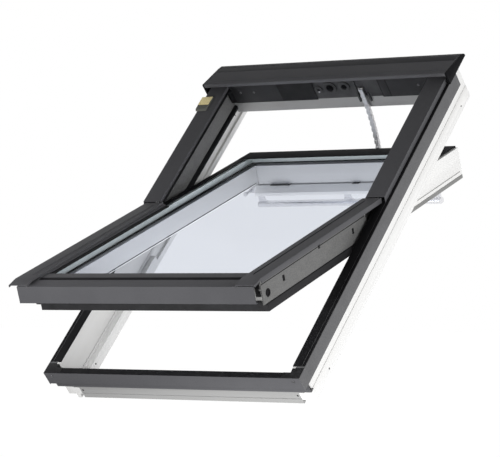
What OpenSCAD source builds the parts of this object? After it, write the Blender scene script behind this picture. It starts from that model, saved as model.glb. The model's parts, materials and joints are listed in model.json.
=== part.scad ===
// Centre-pivot roof window with a chain drive, tilted open on a pitched roof.
// Sub-parts are drawn in the plane of the window: X across, Y up the slope, Z outward.
// Y = 0 is the sash pivot and Z = 0 is the top face of the frame covers.
// The sash is drawn closed and then turned about its pivot.

/* [Placing] */
// Pitch of the roof
roof_pitch = 45; // [15:1:75]
// Opening angle of the sash
open_angle = 25; // [12:1:27]

/* [Frame timber] */
// Outer width of the frame
frame_w = 780; // [660:1:1140]
// Outer length of the frame
frame_l = 1178; // [1120:1:1400]
// Distance of the pivot above the middle of the frame's length
pivot_off = 16; // [0:1:40]
// Depth of the pivot axis under the frame covers
pivot_down = 12; // [11:0.5:14]
// Thickness of the side rails
rail_t = 27; // [24:1:34]
// Depth of the rails, from the outer face to the room face
rail_d = 113.5; // [108:0.5:130]
// Thickness of the top rail
top_rail_t = 41; // [36:1:50]
// Height of the operator recess cut into the top rail
recess_h = 62; // [56:1:66]
// Wall left behind the operator recess
recess_wall = 20; // [14:1:22]
// Thickness of the bottom rail's upstand
upstand_t = 10; // [9:0.5:14]
// Drop from the cover face to the top of that upstand
upstand_drop = 71; // [70:0.5:76]
// Inward reach of the closing ledge at the sides
ledge_w = 17; // [14:1:20]
// Inward reach of the closing ledge at the bottom
bottom_ledge_w = 39; // [30:1:48]
// Set-back of the top rail's room face
top_rail_up = 8; // [0:1:14]
// Height of the lining lip on the room side
lip_h = 15; // [8:1:20]
// Set-back of that lip from the outer faces
lip_setback = 24; // [18:1:26]
// Depth of the metal lining on the upper halves of the side rails
lining_d = 77; // [60:1:80]
// Height of the rubber seal under that lining
frame_seal_h = 19; // [14:1:20]
// Inward reach of that seal
frame_seal_w = 8; // [5:0.5:8]
// Width of the milled groove lines
groove_w = 3; // [2:0.5:4]
// Radius of the fixing holes
fix_r = 2.75; // [2:0.25:4]
// Distance of the bottom fixing holes from the frame's sides
fix_inset = 52; // [40:1:80]
// Distance of the lower side fixing holes from the frame's lower end
fix_low = 98; // [60:1:140]
// Distance of the upper side fixing holes from the frame's upper end
fix_high = 62; // [50:1:140]
// Depth of the fixing holes under the cover face
fix_depth = 101; // [98:0.5:104]

/* [Covers] */
// Thickness of the cover sheet
sheet_t = 1.5; // [1:0.1:2]
// Stand-off of the side cover flanges from the timber
cover_out = 10; // [7:0.5:14]
// Height of the side cover flanges
flange_h = 44; // [36:1:56]
// Distance of the side covers' upper ends from the timber's upper end
cover_short = 36; // [20:1:50]
// Width of the frame side covers' top leg
leg_w = 26; // [22:1:30]
// Distance of the bottom cover's front from the timber
bottom_out = 34; // [28:1:40]
// Width of the bottom cover's top strip
strip_w = 20; // [14:1:24]
// Width of the upper covers
upper_w = 58; // [50:1:62]
// Height of the upper covers and the sash covers over the frame covers
rise = 16; // [14:0.5:20]
// Width of the sash covers
sash_cover_w = 58; // [50:1:60]
// Outward reach of the sash covers past the sash timber
sash_cover_out = 28; // [24:0.5:32]
// Overhang of the sash covers past the sash's nose
sash_cover_low = 65; // [50:1:76]
// Width of the glazing bead along the sash covers
bead_w = 6; // [4:0.5:8]
// Height of that bead over the frame covers
bead_n = 11; // [11:0.5:12]
// Length of the bent-down end of the sash covers
droop_l = 34; // [24:1:38]
// Angle of that bend
droop_angle = 12; // [4:1:14]
// Overhang of the bottom sash cover past the sash's nose
bottom_cover_out = 51; // [48:1:66]
// Reach of the bottom sash cover past the sash's sides
bottom_cover_side = 14; // [8:1:18]
// Height of the bottom sash cover's front
front_h = 46; // [30:1:50]

/* [Hood] */
// Length of the hood up the slope
hood_l = 124; // [110:1:140]
// Overhang of the hood past the upper end of the timber
hood_over = 38; // [24:1:50]
// Height of the hood's front edge over the frame covers
hood_h = 40; // [34:1:48]
// Height of the hood's back edge over the frame covers
hood_back_h = 13; // [10:1:18]
// Depth of the lip at the hood's front
hood_lip = 11; // [8:1:16]
// Thickness of the end caps
cap_t = 5; // [3:0.5:8]

/* [Sash] */
// Gap between the sash and the side rails
side_gap = 11; // [10.5:0.5:13]
// Gap between the sash's lower end and the upstand
bottom_gap = 6; // [5:0.5:10]
// Length of the sash's nose, which closes over the upstand
nose_l = 20; // [14:1:22]
// Gap between the sash's upper end and the top rail
top_gap = 20; // [19:0.5:24]
// Depth of the sash timber
sash_d = 78; // [74:1:80]
// Width of the sash rails
sash_rail_w = 55; // [50:1:66]
// Timber wall outside the glass
rebate_wall = 15; // [14:0.5:18]
// Thickness of each pane
pane_t = 4; // [3:0.5:6]
// Gap between the panes
pane_gap = 16; // [12:1:18]
// Clearance round the glass
glass_gap = 2; // [1:0.5:4]
// Height of the outer pane over the sash timber
glass_up = 3; // [2:0.5:3.5]
// Height of the room-side seal
seal_h = 12; // [8:1:13]
// Width of the room-side seal
seal_w = 10; // [8:0.5:12]
// Width of the top trim
trim_w = 66; // [55:1:72]
// Thickness of the side claddings
clad_t = 2; // [1:0.5:3]
// Depth of the side claddings' lower edge
clad_d = 67; // [56:1:70]
// Distance of the side claddings' upper ends from the pivot
clad_end = 53; // [48:1:70]
// Thickness of the seal's lips under the claddings
seal_lip_t = 2; // [1:0.5:2.5]

/* [Hinges] */
// Radius of the pivot pins
pin_r = 7; // [5:0.5:8]
// Running clearance of pins in their bores
run_gap = 0.06; // [0.04:0.01:0.1]
// Wall of the hinge bushes
bush_wall = 4; // [3:0.5:4]
// Length of the frame's hinge plates
plate_l = 96; // [80:1:120]
// Gap between the sash's hinge plates and the side claddings
leaf_gap = 0.5; // [0.2:0.1:4]
// Reach of the hinge plates below the pivot
plate_below = 25; // [18:1:28]
// Reach of the hinge plates above the pivot
plate_above = 8.5; // [8:0.5:9]
// Thickness of the hinge plates
plate_t = 4; // [3:0.5:4]

/* [Chain drive] */
// Place of the chain across the window
chain_x = 87; // [60:1:140]
// Pitch of the chain
chain_pitch = 9.5; // [9.25:0.25:12]
// Height of the link plates
link_h = 8.5; // [7:0.5:9]
// Thickness of the link plates
link_t = 1.2; // [0.8:0.1:1.6]
// Inner width between the inner link plates
link_gap = 8; // [6:0.25:9]
// Radius of the chain pins
chain_pin_r = 1.5; // [1.2:0.1:2]
// Reach of the drive housing to the left of the chain
housing_left = 198; // [170:1:260]
// Reach of the drive housing to the right of the chain
housing_right = 132; // [110:1:180]
// Reach of the cover plate's window to the left of the chain
window_left = 151; // [60:1:160]
// Reach of the cover plate's window to the right of the chain
window_right = 65; // [40:1:100]

/* [Vent flap] */
// Distance of the vent flap's ends from the room-side seal
flap_end_gap = 36; // [31:1:80]
// Width of the vent flap
flap_w = 57; // [48:1:64]
// Depth of the vent flap
flap_d = 29; // [22:1:34]
// Distance of the control bar's ends from the flap's ends
bar_short = 3; // [0:1:60]
// Thickness of the control bar
bar_t = 17; // [14:1:22]
// Finger space behind the control bar
finger_gap = 20; // [18:1:30]

/* [Rain sensor] */
// Width of the rain sensor
sensor_w = 38; // [30:1:44]
// Length of the rain sensor
sensor_l = 60; // [50:1:80]
// Height of the rain sensor
sensor_h = 6; // [5:0.5:12]
// Distance of the sensor's upper end below the hood's front edge
sensor_below = 30; // [10:1:120]

/* [Hidden] */
$fn = 48;
// Frame places
frame_x = frame_w / 2;
pivot_up = frame_l / 2 + pivot_off;
frame_low = -pivot_up;
frame_high = frame_l - pivot_up;
inner_x = frame_x - rail_t;
timber_top = -sheet_t;
timber_low = timber_top - rail_d;
lip_low = timber_low - lip_h;
lip_x = frame_x - lip_setback;
ledge_x = inner_x - ledge_w;
lip_w = 11;
top_face = frame_high - top_rail_t;
upstand_face = frame_low + upstand_t;
flange_x = frame_x + cover_out;
cover_low = frame_low - bottom_out;
strip_v = cover_low + strip_w;
cover_high = frame_high - cover_short;
seat_n = (timber_low - upstand_drop) / 2;
pivot_n = -pivot_down;
// Sash places
sash_x = inner_x - side_gap;
sash_low = upstand_face + bottom_gap;
sash_high = top_face - top_gap;
sash_inner_x = sash_x - sash_rail_w;
unit_t = 2 * pane_t + pane_gap;
rebate_n = glass_up - unit_t;
glass_x = sash_x - rebate_wall - glass_gap;
nose_v = sash_low - nose_l;
glass_low = nose_v + 18;
edge_v = glass_low + 17;
glass_high = sash_high - rebate_wall - glass_gap;
seal_low = -sash_d - seal_h;
ledge_gap = 1;
ledge_n = seal_low - ledge_gap;
cover_x = sash_x + sash_cover_out;
cover_inner_x = cover_x - sash_cover_w;
bead_x = cover_inner_x - bead_w;
cover_end = nose_v - sash_cover_low;
cover_foot = 6.5;
flange_clear = 2.6;
droop_flange = 6;
strip_t = 0.8;
upper_inner_x = frame_x - upper_w;
mitre_gap = 0.8;
trim_t = 1.5;
trim_x = upper_inner_x + 12;
trim_low = sash_high - trim_w;
leaf_l = 2 * (clad_end - leaf_gap);
// Hood places
hood_high = frame_high + hood_over;
hood_low = hood_high - hood_l;
hood_x = flange_x - sheet_t;
// Drive places
link_half = link_h / 2;
chain_r = top_face - link_half - 1;
plate_v = sash_high + 9;
notch_w = 30;
notch_gap = 0.3;
bracket_t = 3;
housing_v = plate_v + sheet_t;
housing_top = 10;
recess_n = -recess_h - 2;
step_angle = 2 * asin(chain_pitch / 2 / chain_r);
outlet_angle = 2.2;
link_count = floor((open_angle - outlet_angle) / step_angle);
plates_w = link_gap + 4 * link_t + 0.4;
bush_r = chain_pin_r + 1;
back_gap = 0.4;
// Vent flap places
hinge_r = 3;
flap_l = 2 * (sash_x - seal_w - flap_end_gap);
bar_l = flap_l - 2 * bar_short;
flap_high = sash_high - seal_w - 5;
hinge_v = flap_high - 4;
flap_low = flap_high - flap_w;
flap_gap = 2.5;
flap_back = -sash_d - flap_gap;
hinge_n = flap_back - 7.5;
flap_front = flap_back - flap_d;
bar_v = flap_low + 15;
bar_n = flap_front - finger_gap - bar_t / 2;
lug_t = 6;
// Barrel bolt places
bolt_r = 4;
bolt_n = seal_low - bolt_r - 4;
bolt_x = sash_x - seal_w - 14;
bolt_l = 62;
bolt_travel = 28;
bolt_down = 84;
bolt_low = sash_high - bolt_down;

// Colours of the finishes
paint = "whitesmoke";
cladding = [0.27, 0.27, 0.29];
rubber = [0.07, 0.07, 0.07];
plastic = [0.12, 0.12, 0.12];
steel = [0.7, 0.7, 0.7];
glass = [0.8, 0.88, 0.93, 0.5];

// Unit vector from one profile point to another
function toward(a, b) = (b - a) / norm(b - a);
// Left-hand normal of a unit vector
function left(u) = [-u[1], u[0]];
// Point of a folded sheet's other face, mitred at each fold
function folded(path, i, t) =
    let (n = len(path) - 1,
         before = left(toward(path[max(i - 1, 0)], path[max(i, 1)])),
         after = left(toward(path[min(i, n - 1)], path[min(i + 1, n)])))
    path[i] + t * (before + after) / (1 + before * after);

// Section of a folded sheet along a path; t is measured to the left of the path
module sheet(path, t = sheet_t) {
    polygon(concat(path, [for (i = [len(path) - 1 : -1 : 0]) folded(path, i, t)]));
}

// Rectangle given by two corners
module plate2d(low, high) {
    translate(low) square(high - low);
}

// Block given by two corners
module block(low, high) {
    translate(low) cube(high - low);
}

// Section in X and Z, drawn out up the slope
module up_slope(v0, v1) {
    translate([0, v1, 0]) rotate([90, 0, 0]) linear_extrude(v1 - v0) children();
}

// Section in Y and Z, drawn out across the window
module across(x0, x1) {
    translate([x0, 0, 0]) rotate([90, 0, 90]) linear_extrude(x1 - x0) children();
}

// Cylinder along X through a point of a Y and Z section
module rod_x(x0, x1, v, n, r) {
    translate([x0, v, n]) rotate([0, 90, 0]) cylinder(h = x1 - x0, r = r);
}

// Cylinder up the slope through a point of an X and Z section
module rod_v(v0, v1, x, n, r) {
    translate([x, v1, n]) rotate([90, 0, 0]) cylinder(h = v1 - v0, r = r);
}

// Place of the frame on the roof; the origin is on the front of the bottom rail
module on_frame() {
    rotate([roof_pitch, 0, 0]) translate([0, pivot_up, -seat_n]) children();
}

// Turn about the pivot axis
module about_pivot(angle) {
    translate([0, 0, pivot_n]) rotate([-angle, 0, 0]) translate([0, 0, -pivot_n]) children();
}

// Place of the open sash
module on_sash() {
    on_frame() about_pivot(open_angle) children();
}

// Left-hand copy of a right-hand piece
module handed(side) {
    mirror([side < 0 ? 1 : 0, 0, 0]) children();
}

// Frame timber
module side_rail_section() {
    difference() {
        plate2d([inner_x, timber_low], [frame_x, timber_top]);
        plate2d([frame_x - 1.5, ledge_n + 14], [frame_x + 1, ledge_n + 14 + groove_w]);
        plate2d([inner_x - 1, ledge_n + 8], [inner_x + 2, ledge_n + 8 + groove_w]);
    }
    plate2d([lip_x - lip_w, lip_low], [lip_x, timber_low]);
}

module side_holes() {
    for (v = [frame_low + fix_low, frame_high - fix_high])
        rod_x(ledge_x - 1, frame_x + 1, v, -fix_depth, fix_r);
}

module side_rail() {
    difference() {
        up_slope(frame_low, frame_high) side_rail_section();
        side_holes();
    }
}

module frame_left_rail() { color(paint) on_frame() handed(-1) side_rail(); }
module frame_right_rail() { color(paint) on_frame() handed(1) side_rail(); }

// Stop strip on the lower half of a side rail, which the sash closes onto
module stop_strip() {
    difference() {
        up_slope(frame_low, -plate_l) plate2d([ledge_x, timber_low], [inner_x, ledge_n]);
        side_holes();
    }
}

module frame_stop_left() { color(paint) on_frame() handed(-1) stop_strip(); }
module frame_stop_right() { color(paint) on_frame() handed(1) stop_strip(); }

// Lining of the upper halves of the side rails, with a seal along its room edge
module on_upper_rails() {
    on_frame() for (side = [-1, 1]) handed(side)
        up_slope(plate_l / 2 + 2, top_face) children();
}

module frame_linings() {
    color(cladding) on_upper_rails() plate2d([inner_x - sheet_t, -lining_d], [inner_x, timber_top]);
}

module frame_seals() {
    slope_h = 5;
    low = -lining_d - frame_seal_h;
    color(rubber) on_upper_rails() polygon([
        [inner_x, low], [inner_x, -lining_d], [inner_x - frame_seal_w, -lining_d - slope_h],
        [inner_x - frame_seal_w, low + slope_h]]);
}

module frame_top_rail() {
    color(paint) on_frame() across(-inner_x, inner_x) {
        plate2d([top_face, timber_low + top_rail_up], [frame_high, recess_n]);
        plate2d([frame_high - recess_wall, timber_low + top_rail_up], [frame_high, timber_top]);
    }
}

module frame_bottom_rail() {
    sill_groove_d = 3;
    color(paint) on_frame() difference() {
        union() {
            across(-inner_x, inner_x)
                plate2d([frame_low, ledge_n], [upstand_face, -upstand_drop]);
            across(-ledge_x, ledge_x) {
                plate2d([frame_low, timber_low], [frame_low + bottom_ledge_w, ledge_n]);
                plate2d([frame_low + 1, lip_low], [frame_low + bottom_ledge_w, timber_low]);
            }
        }
        across(-ledge_x - 1, ledge_x + 1)
            plate2d([frame_low - 1, timber_low], [frame_low + sill_groove_d, timber_low + groove_w]);
        for (side = [-1, 1])
            rod_v(frame_low - 1, frame_low + bottom_ledge_w + 1,
                  side * (frame_x - fix_inset), -fix_depth, fix_r);
    }
}

// Frame covers
module frame_cover() {
    hem = 5;
    up_slope(cover_low, cover_high) plate2d([hood_x, -flange_h], [flange_x, 0]);
    up_slope(frame_low, cover_high) plate2d([flange_x - hem, -flange_h], [hood_x, sheet_t - flange_h]);
    up_slope(strip_v, cover_high) plate2d([flange_x - leg_w, -sheet_t], [hood_x, 0]);
}

module frame_cover_left() { color(cladding) on_frame() handed(-1) frame_cover(); }
module frame_cover_right() { color(cladding) on_frame() handed(1) frame_cover(); }

module frame_cover_bottom() {
    hem = 6;
    front_low = -flange_h + 3;
    foot_n = sheet_t - upstand_drop;
    color(cladding) on_frame() {
        across(-hood_x, hood_x)
            sheet([[frame_low, foot_n], [strip_v, foot_n], [strip_v, 0],
                   [cover_low, 0], [cover_low, front_low], [cover_low + hem, front_low]]);
        across(-inner_x, inner_x) plate2d([frame_low, -upstand_drop], [upstand_face - 1, foot_n]);
    }
}

module corner_block() {
    reach = 45;
    inner = inner_x + 3;
    outer = flange_x - leg_w;
    block([frame_x - reach, cover_low + 1, 0], [hood_x, strip_v, strip_t]);
    block([outer, strip_v, 0], [hood_x, frame_low + 2, strip_t]);
    block([inner, strip_v, -flange_h], [hood_x, frame_low, -sheet_t]);
    block([inner, strip_v, -sheet_t], [outer, frame_low, strip_t]);
}

module corner_block_left() { color(plastic) on_frame() handed(-1) corner_block(); }
module corner_block_right() { color(plastic) on_frame() handed(1) corner_block(); }

// Upper cover, cut off by the plane that the sash covers' ends reach when open
module upper_cover() {
    difference() {
        up_slope(0, hood_low + 18)
            sheet([[frame_x, 0], [frame_x, rise], [upper_inner_x, rise], [upper_inner_x, 7]]);
        about_pivot(open_angle)
            block([0, -2 * pivot_up, -pivot_up], [frame_w, mitre_gap, pivot_up]);
    }
}

module upper_cover_left() { color(cladding) on_frame() handed(-1) upper_cover(); }
module upper_cover_right() { color(cladding) on_frame() handed(1) upper_cover(); }

// Rubber strips of the frame
module frame_gasket() {
    gap = 0.2;
    up_slope(frame_low + 8, top_face) {
        plate2d([inner_x, timber_top], [flange_x - leg_w, 0]);
        plate2d([inner_x, 0], [frame_x - sheet_t - gap, strip_t]);
    }
    up_slope(frame_low + 8, hood_low) plate2d([frame_x + gap, 0], [flange_x - sheet_t, strip_t]);
}

module frame_gasket_left() { color(rubber) on_frame() handed(-1) frame_gasket(); }
module frame_gasket_right() { color(rubber) on_frame() handed(1) frame_gasket(); }

module upper_gasket() {
    up_slope(20, hood_low + 18)
        plate2d([upper_inner_x - 2, 5.5], [upper_inner_x + sheet_t, 7]);
}

module upper_gasket_left() { color(rubber) on_frame() handed(-1) upper_gasket(); }
module upper_gasket_right() { color(rubber) on_frame() handed(1) upper_gasket(); }

// Hood: front lip, sloping top with a pressed groove, rolled back
function hood_path() =
    let (roll = 12, groove_v = hood_high - roll - 10, back = hood_back_h)
    concat([[hood_low, hood_h - hood_lip], [hood_low, hood_h - 2], [hood_low + 2, hood_h],
            [groove_v, back + 4], [groove_v + 2, back + 2], [groove_v + 5, back + 2.4]],
           [for (a = [90 : -30 : 0]) [hood_high - roll + roll * cos(a), back - roll + roll * sin(a)]],
           [[hood_high, 0]]);

module hood() {
    path = hood_path();
    color(cladding) on_frame() across(-hood_x, hood_x)
        sheet([for (i = [len(path) - 1 : -1 : 0]) path[i]]);
}

module hood_cap() {
    across(hood_x, hood_x + cap_t)
        polygon(concat(hood_path(), [[hood_low, 0]]));
}

module hood_cap_left() { color(plastic) on_frame() handed(-1) hood_cap(); }
module hood_cap_right() { color(plastic) on_frame() handed(1) hood_cap(); }

// Chain drive
module operator_cover() {
    color(plastic) on_frame() difference() {
        block([-inner_x + 20, plate_v, recess_n + 1], [inner_x - 20, housing_v, hood_h - hood_lip]);
        block([chain_x - window_left, plate_v - 1, recess_n],
              [chain_x + window_right, housing_v + 1, housing_top]);
    }
}

// Drive housing with the rims of its two gear covers and the prongs that guide the chain
module operator_housing() {
    left_end = chain_x - housing_left;
    right_end = chain_x + housing_right;
    back_v = frame_high - recess_wall;
    rim_t = 4;
    front_v = housing_v + rim_t;
    // Rims: distance left of the chain, depth, outer and inner radius
    rims = [[98, 24, 21, 12], [50, 22, 18, 9], [138, 30, 13, 5]];
    prong_t = 5;
    prong_h = 16;
    notch_half = notch_w / 2;
    color(plastic) on_frame() difference() {
        union() {
            block([left_end, front_v, recess_n], [right_end, back_v, housing_top]);
            for (rim = rims) difference() {
                rod_v(housing_v, front_v + 1, chain_x - rim[0], -rim[1], rim[2]);
                rod_v(housing_v - 1, front_v, chain_x - rim[0], -rim[1], rim[3]);
            }
            for (side = [-1, 1]) translate([chain_x, 0, 0]) handed(side)
                block([notch_half, housing_v, recess_n - prong_h],
                      [notch_half + prong_t, front_v + 2, recess_n + prong_h]);
        }
        block([chain_x - notch_half, plate_v - 5, recess_n - prong_h - 1],
              [chain_x + notch_half, chain_r + link_half + notch_gap, housing_top + 1]);
    }
}

// Plate of a link between two chain pins, standing at the place of the first pin
module link_plate(t) {
    difference() {
        union() {
            for (end = [0, chain_pitch])
                translate([0, 0, -end]) rotate([0, 90, 0]) cylinder(h = t, r = link_half);
            block([0, -link_half, -chain_pitch], [t, link_half, 0]);
        }
        for (end = [0, chain_pitch])
            translate([-1, 0, -end]) rotate([0, 90, 0]) cylinder(h = t + 2, r = chain_pin_r + run_gap);
    }
}

// Stands a link on the chain's arc; the last link ends at the bracket's pin
module on_chain(i) {
    about_pivot(open_angle - (link_count - i) * step_angle)
        translate([chain_x, chain_r, pivot_n]) rotate([-step_angle / 2, 0, 0]) children();
}

// Links are folded from sheet: two plates joined by a back on the side of the sash
module chain_outer_links() {
    x0 = plates_w / 2 - link_t;
    back = link_half + back_gap;
    color(steel) on_frame() for (i = [0 : 2 : link_count - 1]) on_chain(i) {
        for (x = [-x0 - link_t, x0]) translate([x, 0, 0]) {
            link_plate(link_t);
            block([0, -back, -chain_pitch], [link_t, 1 - link_half, 0]);
        }
        block([-x0 - link_t, -back - link_t, -chain_pitch], [x0 + link_t, -back, 0]);
    }
}

module chain_inner_links() {
    x0 = link_gap / 2;
    color(steel) on_frame() for (i = [1 : 2 : link_count - 1]) on_chain(i) {
        for (x = [-x0 - link_t, x0]) translate([x, 0, 0]) link_plate(link_t);
        block([-x0, -link_half, -chain_pitch], [x0, link_t - link_half, 0]);
        for (end = [0, chain_pitch]) difference() {
            translate([-x0, 0, -end]) rotate([0, 90, 0]) cylinder(h = link_gap, r = bush_r);
            translate([-x0 - 1, 0, -end]) rotate([0, 90, 0])
                cylinder(h = link_gap + 2, r = chain_pin_r + run_gap);
        }
    }
}

module chain_pins() {
    color(steel) on_frame() for (i = [0 : link_count - 1])
        about_pivot(open_angle - (link_count - i) * step_angle)
            rod_x(chain_x - plates_w / 2, chain_x + plates_w / 2, chain_r, pivot_n, chain_pin_r);
}

// Rain sensor on the left upper cover
sensor_high = hood_low - sensor_below;
sensor_out = -frame_x - 5;

module rain_sensor_base() {
    color(plastic) on_frame() across(sensor_out, sensor_out + sensor_w)
        polygon([[sensor_high - sensor_l, rise], [sensor_high - sensor_l + 6, rise + sensor_h],
                 [sensor_high - 3, rise + sensor_h], [sensor_high, rise]]);
}

module rain_sensor_pad() {
    edge = 1;
    pad_l = 34;
    pad_high = sensor_high - 4;
    pad_n = rise + sensor_h;
    color("khaki") on_frame() block([sensor_out + edge, pad_high - pad_l, pad_n],
                                    [sensor_out + sensor_w - edge, pad_high, pad_n + 1]);
}

// Hinges: plate on the frame with a pin, plate on the sash with a bush
module frame_hinge() {
    pin_end = sash_x - rebate_wall + 2;
    block([inner_x - plate_t, -plate_l / 2, pivot_n - plate_below],
          [inner_x, plate_l / 2, pivot_n + plate_above]);
    rod_x(pin_end, inner_x - plate_t / 2, 0, pivot_n, pin_r);
}

module frame_hinge_left() { color(steel) on_frame() handed(-1) frame_hinge(); }
module frame_hinge_right() { color(steel) on_frame() handed(1) frame_hinge(); }

module sash_hinge() {
    difference() {
        union() {
            block([sash_x, -leaf_l / 2, pivot_n - plate_below],
                  [sash_x + plate_t, leaf_l / 2, pivot_n + plate_above]);
            rod_x(sash_x - rebate_wall + 1, sash_x + plate_t, 0, pivot_n, pin_r + bush_wall);
        }
        rod_x(sash_x - rebate_wall, sash_x + plate_t + 1, 0, pivot_n, pin_r + run_gap);
    }
}

module sash_hinge_left() { color(steel) on_sash() handed(-1) sash_hinge(); }
module sash_hinge_right() { color(steel) on_sash() handed(1) sash_hinge(); }

// Pan-head screws of the cover plate and the corner blocks
module cover_screws() {
    head_r = 4;
    head_t = 2;
    color(steel) on_frame() {
        for (x = [-inner_x + 50, -inner_x + 96, inner_x - 84])
            rod_v(plate_v - head_t, plate_v, x, pivot_n - 12, head_r);
        for (side = [-1, 1])
            rod_v(cover_low - head_t, cover_low, side * (frame_x - 12), pivot_n, head_r);
    }
}

// Sash timber
module sash_side_rail() {
    edge = 6;
    difference() {
        up_slope(nose_v, sash_high) polygon([
            [sash_x, 0], [sash_x, -sash_d], [sash_inner_x + edge, -sash_d], [sash_inner_x, edge - sash_d],
            [sash_inner_x, rebate_n], [sash_x - rebate_wall, rebate_n], [sash_x - rebate_wall, 0]]);
        block([0, nose_v - 1, -sash_d - 1], [frame_x, sash_low, -clad_d]);
        rod_x(sash_x - rebate_wall - 1, sash_x + 1, 0, pivot_n, pin_r + bush_wall + run_gap);
    }
}

module sash_left_rail() { color(paint) on_sash() handed(-1) sash_side_rail(); }
module sash_right_rail() { color(paint) on_sash() handed(1) sash_side_rail(); }

module sash_top_rail() {
    inner_v = sash_high - sash_rail_w;
    color(paint) on_sash() across(-sash_inner_x, sash_inner_x) polygon([
        [sash_high, 0], [sash_high, -sash_d], [inner_v, -sash_d], [inner_v, rebate_n],
        [sash_high - rebate_wall, rebate_n], [sash_high - rebate_wall, 0]]);
}

module sash_bottom_rail() {
    inner_v = sash_low + sash_rail_w;
    edge = 6;
    color(paint) on_sash() across(-sash_inner_x, sash_inner_x) polygon([
        [nose_v, rebate_n], [nose_v, -clad_d], [sash_low, -clad_d],
        [sash_low, -sash_d], [inner_v - edge, -sash_d],
        [inner_v, edge - sash_d], [inner_v, rebate_n]]);
}

// Glazing
module pane(low) {
    block([-glass_x, glass_low, low], [glass_x, glass_high, low + pane_t]);
}

module outer_pane() { color(glass) on_sash() pane(glass_up - pane_t); }
module inner_pane() { color(glass) on_sash() pane(rebate_n); }

module glass_spacer() {
    bar = 12;
    inset = 5;
    low = rebate_n + pane_t;
    color(steel) on_sash() difference() {
        block([inset - glass_x, glass_low + inset, low],
              [glass_x - inset, glass_high - inset, low + pane_gap]);
        block([inset + bar - glass_x, glass_low + inset + bar, low - 1],
              [glass_x - inset - bar, glass_high - inset - bar, low + pane_gap + 1]);
    }
}

// Seal between the glass and the inner edges of covers and trims
module glazing_seal() {
    reach = 13;
    inner = bead_x - reach;
    outer = cover_inner_x;
    top = cover_foot - 0.5;
    bottom_w = 6;
    color(rubber) on_sash() {
        for (side = [-1, 1]) handed(side)
            block([inner, edge_v, glass_up], [outer, -2, top]);
        block([-outer, edge_v - bottom_w, glass_up], [outer, edge_v, top - sheet_t]);
    }
}

// Sash cover: folded sheet, bent down at its lower end, with a glazing bead along its inner edge
module sash_cover() {
    high_end = -0.5;
    bend_v = cover_end + droop_l;
    bead_end = nose_v - 3;
    tip = [bend_v - droop_l * cos(droop_angle), rise - droop_l * sin(droop_angle)];
    across(cover_inner_x, cover_x) sheet([[high_end, rise], [bend_v, rise], tip]);
    // Walls: the place in X, the foot on the straight part and the height on the bent part
    for (wall = [[cover_x - sheet_t, flange_clear, droop_flange],
                 [cover_inner_x, bead_n - sheet_t, droop_flange]])
        across(wall[0], wall[0] + sheet_t) {
            plate2d([bend_v, wall[1]], [high_end, rise]);
            polygon([[bend_v, rise], tip, tip - [0, wall[2]], [bend_v, rise - wall[2]]]);
        }
    block([bead_x, bead_end, bead_n - sheet_t], [cover_inner_x + sheet_t, high_end, bead_n]);
    block([bead_x, edge_v + 1, cover_foot], [bead_x + sheet_t, high_end, bead_n]);
}

module sash_cover_left() { color(cladding) on_sash() handed(-1) sash_cover(); }
module sash_cover_right() { color(cladding) on_sash() handed(1) sash_cover(); }

// Bottom cover: runs off the glass, has a pressed groove, then drops in front of the frame
module sash_cover_bottom() {
    half = sash_x + bottom_cover_side;
    front_v = nose_v - bottom_cover_out;
    crest_v = nose_v + 16;
    crest_n = 9.5;
    edge_n = 0;
    groove_in = 45;
    groove_v = front_v + groove_in;
    slope = (crest_n - edge_n) / (crest_v - front_v);
    groove_n = crest_n - slope * (crest_v - groove_v);
    hem = 8;
    web_x = sash_x - rebate_wall;
    color(cladding) on_sash() {
        across(-half, half) sheet([
               [front_v + hem, edge_n - front_h], [front_v, edge_n - front_h], [front_v, edge_n],
               [groove_v - 3, groove_n - 3 * slope], [groove_v - 1, groove_n - 1.5],
               [groove_v + 1, groove_n - 1.5], [groove_v + 3, groove_n + 3 * slope],
               [crest_v, crest_n], [edge_v, cover_foot]], -sheet_t);
        across(-web_x, web_x) plate2d([nose_v, rebate_n], [nose_v + 2, groove_n]);
    }
}

// Trims of the upper half
module sash_trim() {
    up_slope(4, trim_low)
        plate2d([cover_inner_x, glass_up], [trim_x, glass_up + 1]);
}

module sash_trim_left() { color(cladding) on_sash() handed(-1) sash_trim(); }
module sash_trim_right() { color(cladding) on_sash() handed(1) sash_trim(); }

module sash_trim_top() {
    color(cladding) on_sash() across(-trim_x, trim_x)
        sheet([[sash_high, rebate_n], [sash_high, glass_up], [trim_low, glass_up]], -trim_t);
}

// Side cladding of the lower half with its two slots and drain hole
module sash_clad() {
    slot_h = 16;
    slot_r = 5.5;
    slot_end = 76;
    slot_low = 111;
    drain_r = 11;
    drain_v = nose_v + 28;
    drain_n = -43;
    corner_r = 26;
    difference() {
        block([sash_x, nose_v, -clad_d], [sash_x + clad_t, -clad_end, 0]);
        difference() {
            block([sash_x - 1, -clad_end - corner_r, -corner_r], [sash_x + clad_t + 1, 1 - clad_end, 1]);
            rod_x(sash_x - 2, sash_x + clad_t + 2, -clad_end - corner_r, -corner_r, corner_r);
        }
        for (v = [-clad_end - slot_end, nose_v + slot_low])
            block([sash_x - 1, v - slot_r, -clad_d / 2 - slot_h / 2],
                  [sash_x + clad_t + 1, v + slot_r, -clad_d / 2 + slot_h / 2]);
        rod_x(sash_x - 1, sash_x + clad_t + 1, drain_v, drain_n, drain_r);
    }
}

module sash_clad_left() { color(cladding) on_sash() handed(-1) sash_clad(); }
module sash_clad_right() { color(cladding) on_sash() handed(1) sash_clad(); }

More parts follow.
